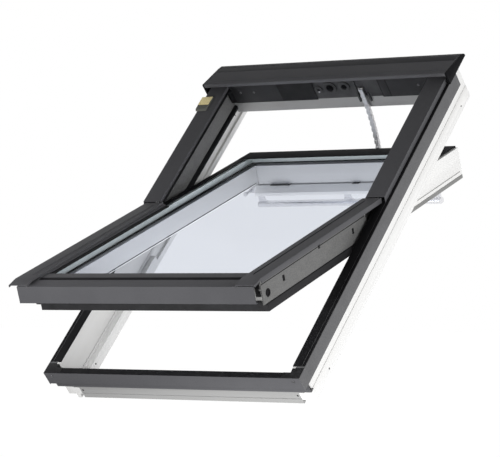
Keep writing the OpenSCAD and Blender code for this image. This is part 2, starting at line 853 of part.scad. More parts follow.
// Room-side seal with lips that close the joints under the claddings and the bottom cover
module sash_seal() {
    nose_lip_h = 12;
    color(rubber) on_sash() {
        difference() {
            block([-sash_x, sash_low, seal_low], [sash_x, sash_high, -sash_d]);
            block([seal_w - sash_x, sash_low + seal_w, seal_low - 1],
                  [sash_x - seal_w, sash_high - seal_w, 1 - sash_d]);
        }
        for (side = [-1, 1]) handed(side)
            block([sash_x, sash_low, seal_low], [sash_x + seal_lip_t, -clad_end, -clad_d]);
        block([-sash_x - seal_lip_t, sash_low - seal_lip_t, seal_low],
              [sash_x + seal_lip_t, sash_low, -clad_d]);
        block([-sash_x, nose_v - seal_lip_t, -clad_d], [sash_x, nose_v, nose_lip_h - clad_d]);
    }
}

// Clips that carry the sash covers on the timber
module cover_clips() {
    clip_l = 40;
    count = 4;
    span = -sash_low - plate_l;
    color(plastic) on_sash() for (side = [-1, 1]) handed(side)
        for (i = [0 : count - 1])
            translate([0, sash_low + 20 + i * (span - clip_l) / (count - 1), 0])
                block([sash_x - rebate_wall + 2, 0, 0], [sash_x - 2, clip_l, rise - sheet_t]);
}

// Bracket that takes the chain's last link on a pin
module chain_bracket() {
    ear_t = 2.5;
    ear_x = plates_w / 2 + 0.5;
    base_v = sash_high + trim_t;
    color(steel) on_sash() translate([chain_x, 0, 0]) {
        block([-20, base_v, pivot_n - 10], [20, base_v + bracket_t, glass_up]);
        for (side = [-1, 1]) handed(side)
            block([ear_x, base_v, pivot_n - 4], [ear_x + ear_t, chain_r + 4, pivot_n + 4]);
        rod_x(-ear_x - ear_t, ear_x + ear_t, chain_r, pivot_n, chain_pin_r);
    }
}

// Vent flap, its lugs and the control bar
module flap_lugs() {
    color(paint) on_sash() for (side = [-1, 1]) handed(side) difference() {
        block([flap_l / 2 + 1, hinge_v - 7, hinge_n - 7], [flap_l / 2 + 1 + lug_t, hinge_v + 7, -sash_d]);
        rod_x(flap_l / 2, flap_l / 2 + 2 + lug_t, hinge_v, hinge_n, hinge_r + run_gap);
    }
}

module vent_flap() {
    face_w = 26;
    color(paint) on_sash() {
        across(-flap_l / 2, flap_l / 2) polygon([
            [flap_high, flap_back], [flap_low + 12, flap_back], [flap_low, flap_front + 9],
            [flap_low, flap_front], [flap_low + face_w, flap_front], [flap_high, hinge_n - 7]]);
        rod_x(-flap_l / 2 - 1 - lug_t, flap_l / 2 + 1 + lug_t, hinge_v, hinge_n, hinge_r);
    }
}

module control_bar() {
    r = bar_t / 2;
    color("silver") on_sash() across(-bar_l / 2, bar_l / 2) {
        for (v = [bar_v - 4, bar_v + 4]) translate([v, bar_n]) circle(r);
        plate2d([bar_v - 4, bar_n - r], [bar_v + 4, bar_n + r]);
    }
}

// Brackets of the bar, flared where they meet it
module bar_brackets() {
    w = 18;
    flare = 12;
    half_h = 4;
    foot = bar_n + bar_t / 2;
    end_x = bar_l / 2 - w / 2;
    // Brackets: the place in X and the flared sides
    color(plastic) on_sash() for (place = [[-end_x, [1]], [0, [-1, 1]], [end_x, [-1]]])
        up_slope(bar_v - half_h, bar_v + half_h) translate([place[0], 0]) {
            plate2d([-w / 2, foot], [w / 2, flap_front]);
            for (side = place[1]) scale([side, 1]) difference() {
                plate2d([w / 2, foot], [w / 2 + flare, foot + flare]);
                translate([w / 2 + flare, foot + flare]) circle(flare);
            }
        }
}

// Barrel bolt and its guide
module bolt_guide() {
    guide_l = 28;
    guide_low = bolt_low + bolt_travel + 2;
    half = 8;
    color(steel) on_sash() difference() {
        block([-bolt_x - half, guide_low, bolt_n - half + 1],
              [-bolt_x + half, guide_low + guide_l, -sash_d]);
        rod_v(bolt_low, guide_low + guide_l + 1, -bolt_x, bolt_n, bolt_r + run_gap);
    }
}

module barrel_bolt() {
    color(steel) on_sash() {
        rod_v(bolt_low, bolt_low + bolt_l, -bolt_x, bolt_n, bolt_r);
        rod_v(bolt_low - 6, bolt_low, -bolt_x, bolt_n, bolt_r + 2.5);
    }
}

frame_left_rail();
frame_right_rail();
frame_top_rail();
frame_bottom_rail();
frame_stop_left();
frame_stop_right();
frame_cover_left();
frame_cover_right();
frame_cover_bottom();
corner_block_left();
corner_block_right();
upper_cover_left();
upper_cover_right();
frame_linings();
frame_seals();
frame_gasket_left();
frame_gasket_right();
upper_gasket_left();
upper_gasket_right();
hood();
hood_cap_left();
hood_cap_right();
operator_cover();
operator_housing();
chain_outer_links();
chain_inner_links();
chain_pins();
rain_sensor_base();
rain_sensor_pad();
frame_hinge_left();
frame_hinge_right();
cover_screws();
sash_left_rail();
sash_right_rail();
sash_top_rail();
sash_bottom_rail();
outer_pane();
inner_pane();
glass_spacer();
glazing_seal();
sash_cover_left();
sash_cover_right();
sash_cover_bottom();
sash_trim_left();
sash_trim_right();
sash_trim_top();
sash_clad_left();
sash_clad_right();
sash_seal();
cover_clips();
sash_hinge_left();
sash_hinge_right();
chain_bracket();
flap_lugs();
bolt_guide();
vent_flap();
control_bar();
bar_brackets();
barrel_bolt();
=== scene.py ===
# Roof window with a chain drive: finishes, fine pieces, light and camera
import json
import math

import bmesh
import bpy
from mathutils import Matrix, Vector

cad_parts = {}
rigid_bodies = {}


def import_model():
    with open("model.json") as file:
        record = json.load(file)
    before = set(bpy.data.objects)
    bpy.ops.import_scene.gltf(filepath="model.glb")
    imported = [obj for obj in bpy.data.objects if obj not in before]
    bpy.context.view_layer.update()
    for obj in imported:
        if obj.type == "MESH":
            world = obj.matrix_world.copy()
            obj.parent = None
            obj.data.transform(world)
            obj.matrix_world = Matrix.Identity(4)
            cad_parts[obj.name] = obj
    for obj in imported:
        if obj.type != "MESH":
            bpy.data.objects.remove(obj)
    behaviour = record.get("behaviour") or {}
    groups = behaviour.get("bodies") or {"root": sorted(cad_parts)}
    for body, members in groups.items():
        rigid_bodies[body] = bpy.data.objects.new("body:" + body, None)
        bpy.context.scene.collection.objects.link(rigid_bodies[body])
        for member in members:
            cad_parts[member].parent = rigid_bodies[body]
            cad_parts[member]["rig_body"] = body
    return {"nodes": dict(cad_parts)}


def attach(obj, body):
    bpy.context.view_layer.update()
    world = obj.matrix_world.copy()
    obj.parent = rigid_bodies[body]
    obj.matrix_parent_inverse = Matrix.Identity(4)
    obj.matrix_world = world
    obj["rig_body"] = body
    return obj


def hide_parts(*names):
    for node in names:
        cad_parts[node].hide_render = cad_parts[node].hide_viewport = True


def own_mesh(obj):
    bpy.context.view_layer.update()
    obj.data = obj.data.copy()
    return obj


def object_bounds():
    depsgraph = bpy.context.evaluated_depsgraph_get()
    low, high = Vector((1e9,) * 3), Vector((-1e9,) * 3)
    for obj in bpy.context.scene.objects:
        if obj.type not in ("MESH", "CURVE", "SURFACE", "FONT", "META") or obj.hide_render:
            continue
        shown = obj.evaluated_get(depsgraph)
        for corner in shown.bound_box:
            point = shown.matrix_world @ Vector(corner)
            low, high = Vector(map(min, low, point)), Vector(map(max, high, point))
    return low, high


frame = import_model()
nodes = frame["nodes"]
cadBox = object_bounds()
print("frame loaded with", len(nodes), "nodes")

# the window's own planes: x across, y up the slope from the pivot, z outward, in metres
window = {"pitch": 45.0, "opening": 25.0, "pivotUp": 0.605, "pivotDown": 0.012, "seat": 0.093}
turnRoof = Matrix.Rotation(math.radians(window["pitch"]), 4, "X")
turnSash = Matrix.Rotation(math.radians(-window["opening"]), 4, "X")
toPivot = Matrix.Translation((0, 0, -window["pivotDown"]))
roofPlane = turnRoof @ Matrix.Translation((0, window["pivotUp"], window["seat"]))
sashPlane = roofPlane @ toPivot @ turnSash @ toPivot.inverted()
roofTurn = window["pitch"]
sashTurn = window["pitch"] - window["opening"]


# materials

noTint = (1, 1, 1)
noiseRun = (0.3, 0.7)  # a noise seldom leaves this range


def startFinish(name, colour, roughness=0.5, metallic=0.0, specular=0.5):
    finish = bpy.data.materials.new(name)
    finish.use_nodes = True
    shader = finish.node_tree.nodes["Principled BSDF"]
    shader.inputs["Base Color"].default_value = (*colour, 1)
    shader.inputs["Roughness"].default_value = roughness
    shader.inputs["Metallic"].default_value = metallic
    shader.inputs["Specular IOR Level"].default_value = specular
    return finish, finish.node_tree, shader


def slopeSpace(tree, turn, stretch=(1, 1, 1)):
    # object coordinates, laid along the slope of the frame or the sash
    place = tree.nodes.new("ShaderNodeTexCoord")
    lay = tree.nodes.new("ShaderNodeMapping")
    lay.vector_type = "TEXTURE"
    lay.inputs["Rotation"].default_value = (math.radians(turn), 0, 0)
    lay.inputs["Scale"].default_value = stretch
    tree.links.new(place.outputs["Object"], lay.inputs["Vector"])
    return lay.outputs["Vector"]


def noiseOn(tree, space, scale, detail=3.0, roughness=0.55):
    noise = tree.nodes.new("ShaderNodeTexNoise")
    noise.inputs["Scale"].default_value = scale
    noise.inputs["Detail"].default_value = detail
    noise.inputs["Roughness"].default_value = roughness
    tree.links.new(space, noise.inputs["Vector"])
    return noise.outputs["Fac"]


def cellsOn(tree, space, scale):
    cells = tree.nodes.new("ShaderNodeTexVoronoi")
    cells.inputs["Scale"].default_value = scale
    tree.links.new(space, cells.inputs["Vector"])
    return cells


def between(tree, factor, low=0.0, high=1.0, run=noiseRun):
    # maps the run of a factor to a range of values
    span = tree.nodes.new("ShaderNodeMapRange")
    span.inputs["From Min"].default_value, span.inputs["From Max"].default_value = run
    span.inputs["To Min"].default_value = low
    span.inputs["To Max"].default_value = high
    tree.links.new(factor, span.inputs["Value"])
    return span.outputs["Result"]


def mathNode(tree, operation, first, second):
    step = tree.nodes.new("ShaderNodeMath")
    step.operation = operation
    for socket, value in zip(step.inputs, (first, second)):
        if isinstance(value, float):
            socket.default_value = value
        else:
            tree.links.new(value, socket)
    return step.outputs["Value"]


def twoTone(tree, factor, first, second):
    blend = tree.nodes.new("ShaderNodeMix")
    blend.data_type = "RGBA"
    blend.inputs["A"].default_value = (*first, 1)
    blend.inputs["B"].default_value = (*second, 1)
    tree.links.new(factor, blend.inputs["Factor"])
    return blend.outputs["Result"]


def multiplied(tree, first, second):
    blend = tree.nodes.new("ShaderNodeMix")
    blend.data_type = "RGBA"
    blend.blend_type = "MULTIPLY"
    blend.inputs["Factor"].default_value = 1.0
    tree.links.new(first, blend.inputs["A"])
    tree.links.new(second, blend.inputs["B"])
    return blend.outputs["Result"]


def tintBy(tree, shader, factor, dark, colour):
    tree.links.new(twoTone(tree, factor, dark, colour), shader.inputs["Base Color"])


def glossBy(tree, shader, factor, run):
    tree.links.new(between(tree, factor, *run), shader.inputs["Roughness"])


def bumpFrom(tree, shader, height, distance, strength=1.0, under=None):
    bump = tree.nodes.new("ShaderNodeBump")
    bump.inputs["Strength"].default_value = strength
    bump.inputs["Distance"].default_value = distance
    tree.links.new(height, bump.inputs["Height"])
    if under is not None:
        tree.links.new(under, bump.inputs["Normal"])
    tree.links.new(bump.outputs["Normal"], shader.inputs["Normal"])
    return bump.outputs["Normal"]


def surfaceFrom(tree, share, first, second, output):
    # the surface changes from one shader to the other with the share
    mix = tree.nodes.new("ShaderNodeMixShader")
    if isinstance(share, float):
        mix.inputs["Fac"].default_value = share
    else:
        tree.links.new(share, mix.inputs["Fac"])
    tree.links.new(first, mix.inputs[1])
    tree.links.new(second, mix.inputs[2])
    tree.links.new(mix.outputs["Shader"], tree.nodes[output].inputs["Surface"])


# each finish has its own pairs of a colour and a darker tone
coat = {"specular": 0.05, "blackSpecular": 0.01, "roughness": (0.48, 0.62), "cloud": 7.0, "grain": 900.0,
        "grainDetail": 2.0, "speckle": (0.0, 0.35), "fleck": (0.6, 0.6, 0.6), "depth": 0.00005}
coatGrey = ((0.106, 0.106, 0.113), (0.094, 0.094, 0.101))
coatBlack = ((0.016, 0.016, 0.018), (0.012, 0.012, 0.014))
# a darker copy of the grey coat for the hood's top: painted shade
coatPaintedShade = ((0.056, 0.056, 0.060), (0.047, 0.047, 0.051))


def powderCoat(name, turn, colour, dark, specular=coat["specular"]):
    finish, tree, shader = startFinish(name, colour, specular=specular)
    space = slopeSpace(tree, turn)
    fine = noiseOn(tree, space, coat["grain"], coat["grainDetail"])
    tone = twoTone(tree, between(tree, noiseOn(tree, space, coat["cloud"])), dark, colour)
    speckle = twoTone(tree, between(tree, fine, *coat["speckle"]), noTint, coat["fleck"])
    tree.links.new(multiplied(tree, tone, speckle), shader.inputs["Base Color"])
    glossBy(tree, shader, fine, coat["roughness"])
    bumpFrom(tree, shader, fine, coat["depth"])
    return finish


sideSheet = {"specular": 0.06, "roughness": (0.45, 0.62), "stretch": (1, 2, 1), "flake": 330.0,
             "flakeDetail": 2.0, "flakeRoughness": 0.7, "streak": 40.0, "streakShade": (0.88, 0.88, 0.88),
             "depth": 0.00008}
sheetPale = ((0.187, 0.187, 0.184), (0.130, 0.130, 0.130))
sheetGrey = ((0.142, 0.142, 0.146), (0.104, 0.104, 0.108))


def grainedSheet(name, turn, colour, dark):
    # side sheet with a flaky grain
    finish, tree, shader = startFinish(name, colour, specular=sideSheet["specular"])
    space = slopeSpace(tree, turn, sideSheet["stretch"])
    flake = noiseOn(tree, space, sideSheet["flake"], sideSheet["flakeDetail"], sideSheet["flakeRoughness"])
    streak = noiseOn(tree, space, sideSheet["streak"])
    tone = twoTone(tree, between(tree, flake), dark, colour)
    shade = twoTone(tree, between(tree, streak), sideSheet["streakShade"], noTint)
    tree.links.new(multiplied(tree, tone, shade), shader.inputs["Base Color"])
    glossBy(tree, shader, flake, sideSheet["roughness"])
    bumpFrom(tree, shader, flake, sideSheet["depth"])
    return finish


timber = {"specular": 0.4, "roughness": (0.34, 0.46), "stretch": (1, 14, 1), "acrossStretch": (14, 1, 1),
          "tone": 18.0, "grain": 90.0, "grainDetail": 4.0, "grainRoughness": 0.6, "grainDepth": 0.00022,
          "grainStrength": 0.5, "roller": 700.0, "rollerDetail": 2.0, "rollerDepth": 0.00006,
          "rollerStrength": 0.6}
paintWhite = ((0.89, 0.89, 0.885), (0.84, 0.835, 0.825))
# the same white paint dimmed for the frame's side rails and stops and for the sash's right and top rails:
# painted shade
paintFramePaintedShade = ((0.73, 0.73, 0.726), (0.67, 0.666, 0.656))
# white paint darkened to grey for the frame's top and bottom rails and the bottom cover's leg: painted shade
paintGreyPaintedShade = ((0.29, 0.29, 0.288), (0.255, 0.255, 0.253))


def paintedTimber(name, turn, colour, warm, across=False):
    finish, tree, shader = startFinish(name, colour, specular=timber["specular"])
    along = slopeSpace(tree, turn, timber["acrossStretch"] if across else timber["stretch"])
    grain = noiseOn(tree, along, timber["grain"], timber["grainDetail"], timber["grainRoughness"])
    roller = noiseOn(tree, slopeSpace(tree, turn), timber["roller"], timber["rollerDetail"])
    tintBy(tree, shader, between(tree, noiseOn(tree, along, timber["tone"])), warm, colour)
    glossBy(tree, shader, roller, timber["roughness"])
    coarse = bumpFrom(tree, shader, grain, timber["grainDepth"], timber["grainStrength"])
    bumpFrom(tree, shader, roller, timber["rollerDepth"], timber["rollerStrength"], coarse)
    return finish


rubber = {"specular": 0.06, "roughness": (0.52, 0.74), "stretch": (1, 6, 1), "cloud": 30.0, "grain": 520.0,
          "depth": 0.00012}
rubberBlack = ((0.014, 0.014, 0.015), (0.008, 0.008, 0.009))
rubberDark = ((0.030, 0.030, 0.032), (0.020, 0.020, 0.021))
# a lighter copy of the seal's rubber for its part above the pivot and the lines beside it: painted light
rubberPaintedLight = ((0.250, 0.250, 0.246), (0.200, 0.200, 0.196))


def softRubber(name, turn, colour, dark):
    finish, tree, shader = startFinish(name, colour, specular=rubber["specular"])
    space = slopeSpace(tree, turn, rubber["stretch"])
    fine = noiseOn(tree, space, rubber["grain"])
    tintBy(tree, shader, between(tree, noiseOn(tree, space, rubber["cloud"])), dark, colour)
    glossBy(tree, shader, fine, rubber["roughness"])
    bumpFrom(tree, shader, fine, rubber["depth"])
    return finish


plastic = {"specular": 0.08, "capSpecular": 0.02, "driveSpecular": 0.2, "roughness": (0.38, 0.52),
           "cloud": 22.0, "leather": 1100.0, "depth": 0.00012, "strength": 0.5}
plasticBlack = ((0.021, 0.021, 0.022), (0.012, 0.012, 0.013))
plasticCap = ((0.010, 0.010, 0.011), (0.004, 0.004, 0.005))
plasticPanel = ((0.034, 0.034, 0.036), (0.026, 0.026, 0.028))
plasticDrive = ((0.050, 0.050, 0.052), (0.026, 0.026, 0.028))
plasticSensor = ((0.150, 0.152, 0.135), (0.110, 0.112, 0.100))


def mouldedPlastic(name, turn, colour, dark, specular=plastic["specular"]):
    finish, tree, shader = startFinish(name, colour, specular=specular)
    space = slopeSpace(tree, turn)
    leather = cellsOn(tree, space, plastic["leather"])
    cloud = noiseOn(tree, space, plastic["cloud"])
    tintBy(tree, shader, between(tree, cloud), dark, colour)
    glossBy(tree, shader, cloud, plastic["roughness"])
    bumpFrom(tree, shader, leather.outputs["Distance"], plastic["depth"], plastic["strength"])
    return finish


plating = {"roughness": (0.28, 0.45), "cloud": 160.0, "cloudDetail": 4.0, "grain": 900.0, "depth": 0.00006,
           "strength": 0.6}
steelPale = ((0.46, 0.47, 0.48), (0.33, 0.33, 0.34))
steelScrew = ((0.15, 0.15, 0.155), (0.09, 0.09, 0.095))
steelChain = ((0.62, 0.62, 0.63), (0.46, 0.46, 0.47))
steelBlack = ((0.110, 0.110, 0.108), (0.060, 0.060, 0.060))


def platedSteel(name, turn, colour, dark):
    finish, tree, shader = startFinish(name, colour, metallic=1.0)
    space = slopeSpace(tree, turn)
    cloud = noiseOn(tree, space, plating["cloud"], plating["cloudDetail"])
    tintBy(tree, shader, between(tree, cloud), dark, colour)
    glossBy(tree, shader, noiseOn(tree, space, plating["grain"]), plating["roughness"])
    bumpFrom(tree, shader, cloud, plating["depth"], plating["strength"])
    return finish


brushed = {"metallic": 0.85, "roughness": (0.22, 0.36), "stretch": (40, 1, 1), "lines": 1500.0,
           "linesDetail": 2.0, "depth": 0.00003}
barSatin = ((0.82, 0.82, 0.84), (0.70, 0.70, 0.72))


def brushedBar(name, turn, colour, dark):
    finish, tree, shader = startFinish(name, colour, metallic=brushed["metallic"])
    space = slopeSpace(tree, turn, brushed["stretch"])
    lines = noiseOn(tree, space, brushed["lines"], brushed["linesDetail"])
    tintBy(tree, shader, between(tree, lines), dark, colour)
    glossBy(tree, shader, lines, brushed["roughness"])
    bumpFrom(tree, shader, lines, brushed["depth"])
    return finish


spacing = {"metallic": 0.1, "roughness": 0.5, "cloud": 40.0, "dots": 260.0, "depth": 0.0002, "strength": 0.5}
spacerGreen = ((0.80, 0.86, 0.84), (0.74, 0.80, 0.78))


def spacerBar(name, turn, colour, dark):
    # pale bar with rows of small dents
    finish, tree, shader = startFinish(name, colour, spacing["roughness"], spacing["metallic"])
    space = slopeSpace(tree, turn)
    dots = cellsOn(tree, space, spacing["dots"])
    dots.inputs["Randomness"].default_value = 0.0
    tintBy(tree, shader, between(tree, noiseOn(tree, space, spacing["cloud"])), dark, colour)
    bumpFrom(tree, shader, dots.outputs["Distance"], spacing["depth"], spacing["strength"])
    return finish


tracks = {"metallic": 0.35, "roughness": 0.35, "comb": 95.0, "edge": (0.30, 0.42), "depth": 0.0001}
trackGold = ((0.86, 0.74, 0.38), (0.46, 0.37, 0.15))


def goldTracks(name, turn, colour, dark):
    # the sensor's comb of gold tracks
    finish, tree, shader = startFinish(name, colour, tracks["roughness"], tracks["metallic"])
    comb = tree.nodes.new("ShaderNodeTexWave")
    comb.bands_direction = "X"
    comb.inputs["Scale"].default_value = tracks["comb"]
    tree.links.new(slopeSpace(tree, turn), comb.inputs["Vector"])
    edge = between(tree, comb.outputs["Fac"], run=tracks["edge"])
    tintBy(tree, shader, edge, dark, colour)
    bumpFrom(tree, shader, edge, tracks["depth"])
    return finish


pane = {"passed": (0.925, 0.934, 0.952), "mirror": (0.92, 0.95, 1.0), "roughness": 0.02, "steepness": 12.0,
        "most": 0.25}


def clearGlass(name):
    # most light goes straight through, and flat views add a mirror image
    finish, tree, shader = startFinish(name, pane["mirror"], pane["roughness"], metallic=1.0)
    clear = tree.nodes.new("ShaderNodeBsdfTransparent")
    clear.inputs["Color"].default_value = (*pane["passed"], 1)
    weight = tree.nodes.new("ShaderNodeLayerWeight")
    steep = mathNode(tree, "POWER", weight.outputs["Facing"], pane["steepness"])
    share = mathNode(tree, "MULTIPLY", steep, pane["most"])
    surfaceFrom(tree, share, clear.outputs["BSDF"], shader.outputs["BSDF"], "Material Output")
    return finish


finishTable = {
    "roofCoat": (powderCoat, roofTurn, *coatGrey),
    "sashCoat": (powderCoat, sashTurn, *coatGrey),
    "trimCoat": (powderCoat, sashTurn, *coatBlack, coat["blackSpecular"]),
    "hoodBack": (powderCoat, roofTurn, *coatPaintedShade),
    "cladSheet": (grainedSheet, sashTurn, *sheetPale),
    "liningSheet": (grainedSheet, roofTurn, *sheetPale),
    "flangeSheet": (grainedSheet, roofTurn, *sheetGrey),
    "roofTimberPaintedShade": (paintedTimber, roofTurn, *paintFramePaintedShade),
    "roofCrossTimberPaintedShade": (paintedTimber, roofTurn, *paintGreyPaintedShade, True),
    "sashTimber": (paintedTimber, sashTurn, *paintWhite),
    "sashSideTimberPaintedShade": (paintedTimber, sashTurn, *paintFramePaintedShade),
    "sashCrossTimber": (paintedTimber, sashTurn, *paintWhite, True),
    "sashTopTimberPaintedShade": (paintedTimber, sashTurn, *paintFramePaintedShade, True),
    "roofRubber": (softRubber, roofTurn, *rubberBlack),
    "sashRubber": (softRubber, sashTurn, *rubberBlack),
    "greyRubber": (softRubber, sashTurn, *rubberDark),
    "sealGrey": (softRubber, sashTurn, *rubberPaintedLight),
    "roofPlastic": (mouldedPlastic, roofTurn, *plasticBlack),
    "sashPlastic": (mouldedPlastic, sashTurn, *plasticBlack),
    "capPlastic": (mouldedPlastic, roofTurn, *plasticCap, plastic["capSpecular"]),
    "panelPlastic": (mouldedPlastic, roofTurn, *plasticPanel),
    "drivePlastic": (mouldedPlastic, roofTurn, *plasticDrive, plastic["driveSpecular"]),
    "sensorPlastic": (mouldedPlastic, roofTurn, *plasticSensor),
    "roofSteel": (platedSteel, roofTurn, *steelPale),
    "sashSteel": (platedSteel, sashTurn, *steelPale),
    "screwSteel": (platedSteel, roofTurn, *steelScrew),
    "chainSteel": (platedSteel, roofTurn, *steelChain),
    "blackSteel": (platedSteel, sashTurn, *steelBlack),
    "barMetal": (brushedBar, sashTurn, *barSatin),
    "bracketGrey": (brushedBar, sashTurn, *barSatin),
    "spacer": (spacerBar, sashTurn, *spacerGreen),
    "gold": (goldTracks, roofTurn, *trackGold),
    "glass": (clearGlass,)}
finishes = {name: make(name, *look) for name, (make, *look) in finishTable.items()}
print("finishes made:", len(finishes))


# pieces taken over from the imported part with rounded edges

softEdge = {"merge": 0.000002, "flat": 0.5, "segments": 3, "angle": 25.0}
rounding = {
    "frame_left_rail": ("roofTimberPaintedShade", 0.0016), "frame_right_rail": ("roofTimberPaintedShade", 0.0016),
    "frame_top_rail": ("roofCrossTimberPaintedShade", 0.0016), "frame_bottom_rail": ("roofCrossTimberPaintedShade", 0.0016),
    "frame_stop_left": ("roofTimberPaintedShade", 0.0012), "frame_stop_right": ("roofTimberPaintedShade", 0.0012),
    "frame_cover_left": ("flangeSheet", 0.0005), "frame_cover_right": ("flangeSheet", 0.0005),
    "frame_cover_bottom": ("roofCoat", 0.0005), "frame_linings": ("liningSheet", 0.0004),
    "frame_seals": ("roofRubber", 0.0015), "frame_gasket_left": ("roofRubber", 0.0002),
    "frame_gasket_right": ("roofRubber", 0.0002), "upper_gasket_left": ("roofRubber", 0.0004),
    "upper_gasket_right": ("roofRubber", 0.0004),
    "upper_cover_left": ("roofCoat", 0.0005), "upper_cover_right": ("roofCoat", 0.0005),
    "hood": ("roofCoat", 0.0005), "hood_cap_left": ("capPlastic", 0.0008),
    "hood_cap_right": ("capPlastic", 0.0008), "operator_cover": ("roofPlastic", 0.0004),
    "operator_housing": ("drivePlastic", 0.0006),
    "corner_block_left": ("roofPlastic", 0.0003), "corner_block_right": ("roofPlastic", 0.0003),
    "rain_sensor_base": ("sensorPlastic", 0.0012), "rain_sensor_pad": ("gold", 0.0003),
    "frame_hinge_left": ("roofSteel", 0.0006), "frame_hinge_right": ("roofSteel", 0.0006),
    "sash_left_rail": ("sashTimber", 0.0016), "sash_right_rail": ("sashSideTimberPaintedShade", 0.0016),
    "sash_top_rail": ("sashTopTimberPaintedShade", 0.0016), "sash_bottom_rail": ("sashCrossTimber", 0.0016),
    "sash_cover_left": ("sashCoat", 0.0005), "sash_cover_right": ("sashCoat", 0.0005),
    "sash_cover_bottom": ("sashCoat", 0.0005), "sash_trim_left": ("trimCoat", 0.0003),
    "sash_trim_right": ("trimCoat", 0.0003), "sash_trim_top": ("trimCoat", 0.0004),
    "sash_clad_left": ("cladSheet", 0.0005), "sash_clad_right": ("cladSheet", 0.0005),
    "sash_seal": ("greyRubber", 0.0008), "glazing_seal": ("sashRubber", 0.0008),
    "glass_spacer": ("spacer", 0.0006), "cover_clips": ("sashPlastic", 0.0008),
    "sash_hinge_left": ("blackSteel", 0.0006), "sash_hinge_right": ("blackSteel", 0.0006),
    "chain_bracket": ("sashSteel", 0.0005), "bolt_guide": ("bracketGrey", 0.0008),
    "barrel_bolt": ("bracketGrey", 0.0006), "vent_flap": ("sashCrossTimber", 0.0014),
    "flap_lugs": ("sashTimber", 0.0008), "control_bar": ("barMetal", 0.0008),
    "bar_brackets": ("bracketGrey", 0.0006)}

bodyOf = {name: nodes[name]["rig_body"] for name in nodes}


def plainName(node):
    words = node.split("_")
    return words[0] + "".join(word.capitalize() for word in words[1:])


def copyOf(node):
    shell = bmesh.new()
    shell.from_mesh(nodes[node].data)
    bmesh.ops.remove_doubles(shell, verts=shell.verts, dist=softEdge["merge"])
    return shell


def newPiece(name, shell, finish):
    mesh = bpy.data.meshes.new(name)
    shell.to_mesh(mesh)
    shell.free()
    mesh.materials.clear()
    mesh.materials.append(finishes[finish])
    piece = bpy.data.objects.new(name, mesh)
    bpy.context.scene.collection.objects.link(piece)
    return piece


def smoothFaces(piece):
    for face in piece.data.polygons:
        face.use_smooth = True


def handOver(piece, node):
    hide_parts(node)
    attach(piece, bodyOf[node])


def roundOff(node, finish, radius):
    shell = copyOf(node)
    bmesh.ops.dissolve_limit(shell, angle_limit=math.radians(softEdge["flat"]), verts=shell.verts,
                             edges=shell.edges)
    piece = newPiece(plainName(node), shell, finish)
    smoothFaces(piece)
    edges = piece.modifiers.new("edges", "BEVEL")
    edges.width = radius
    edges.segments = softEdge["segments"]
    edges.limit_method = "ANGLE"
    edges.angle_limit = math.radians(softEdge["angle"])
    edges.harden_normals = True
    handOver(piece, node)


for node, (finish, radius) in rounding.items():
    roundOff(node, finish, radius)
print("rounded pieces:", len(rounding))

sillLegPaintedShade = {"node": "frame_cover_bottom", "plane": roofPlane, "axis": 2, "limit": -0.046, "side": -1,
           "finish": "roofCrossTimberPaintedShade"}
sillTop = {"node": "frame_cover_bottom", "plane": roofPlane, "axis": 2, "limit": -0.0008, "side": 1,
           "finish": "roofRubber"}
hoodBack = {"node": "hood", "plane": roofPlane, "axis": 1, "limit": 0.5885, "side": 1, "finish": "hoodBack"}
# the seal's part above the pivot is made lighter: painted light
upperSealPaintedLight = {"node": "sash_seal", "plane": sashPlane, "axis": 1, "limit": 0.0, "side": 1,
             "finish": "sealGrey", "merge": 0.00001}


def cutAcross(part):
    # a loop of edges at the line, where two finishes can meet
    piece = bpy.data.objects[plainName(part["node"])]
    along = Vector([float(axis == part["axis"]) for axis in range(3)])
    shell = bmesh.new()
    shell.from_mesh(piece.data)
    bmesh.ops.bisect_plane(shell, geom=shell.verts[:] + shell.edges[:] + shell.faces[:], dist=part["merge"],
                           plane_co=part["plane"] @ (part["limit"] * along),
                           plane_no=part["plane"].to_3x3() @ along)
    shell.to_mesh(piece.data)
    shell.free()


def paintBeyond(part):
    # the faces of a piece beyond a line on the slope take a finish of their own
    piece = bpy.data.objects[plainName(part["node"])]
    piece.data.materials.append(finishes[part["finish"]])
    toSlope = part["plane"].inverted()
    for face in piece.data.polygons:
        if part["side"] * ((toSlope @ face.center)[part["axis"]] - part["limit"]) > 0:
            face.material_index = len(piece.data.materials) - 1


# the bottom cover's leg takes the sill's grey, which is painted shade, and a rubber layer is on its top
paintBeyond(sillLegPaintedShade)
paintBeyond(sillTop)
# the hood behind its groove takes a darker coat, which is painted shade, and the seal takes a lighter grey
# above the pivot, which is painted light
paintBeyond(hoodBack)
cutAcross(upperSealPaintedLight)
paintBeyond(upperSealPaintedLight)
print("parts of pieces painted")

for node in ("outer_pane", "inner_pane"):
    nodes[node].data.materials.clear()
    nodes[node].data.materials.append(finishes["glass"])
print("panes finished")


# the drive chain, drawn into the housing as the sash closes on the real window, is copied here from the part
# with a steel finish

chain = {"nodes": ("chain_outer_links", "chain_inner_links", "chain_pins"),
         "outlet": (0.087, 0.75743, 0.842524), "end": (0.087, 0.8655, 0.6715), "left": 0.04}


def windingChain(node):
    piece = newPiece(plainName(node), copyOf(node), "chainSteel")
    handOver(piece, node)
    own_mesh(piece)


for node in chain["nodes"]:
    windingChain(node)
print("chain laid")


# small pieces that are turned, cut from an outline or extruded

smallPiece = {"merge": 0.00001, "sharp": 35.0, "edge": 0.0003, "edgeSteps": 2, "turnSteps": 28}


def finishPiece(name, shell, finish, body):
    bmesh.ops.remove_doubles(shell, verts=shell.verts, dist=smallPiece["merge"])
    bmesh.ops.recalc_face_normals(shell, faces=shell.faces)
    piece = newPiece(name, shell, finish)
    smoothFaces(piece)
    piece.data.set_sharp_from_angle(angle=math.radians(smallPiece["sharp"]))
    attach(piece, body)
    return piece


def vertsIn(geometry):
    return [item for item in geometry if isinstance(item, bmesh.types.BMVert)]


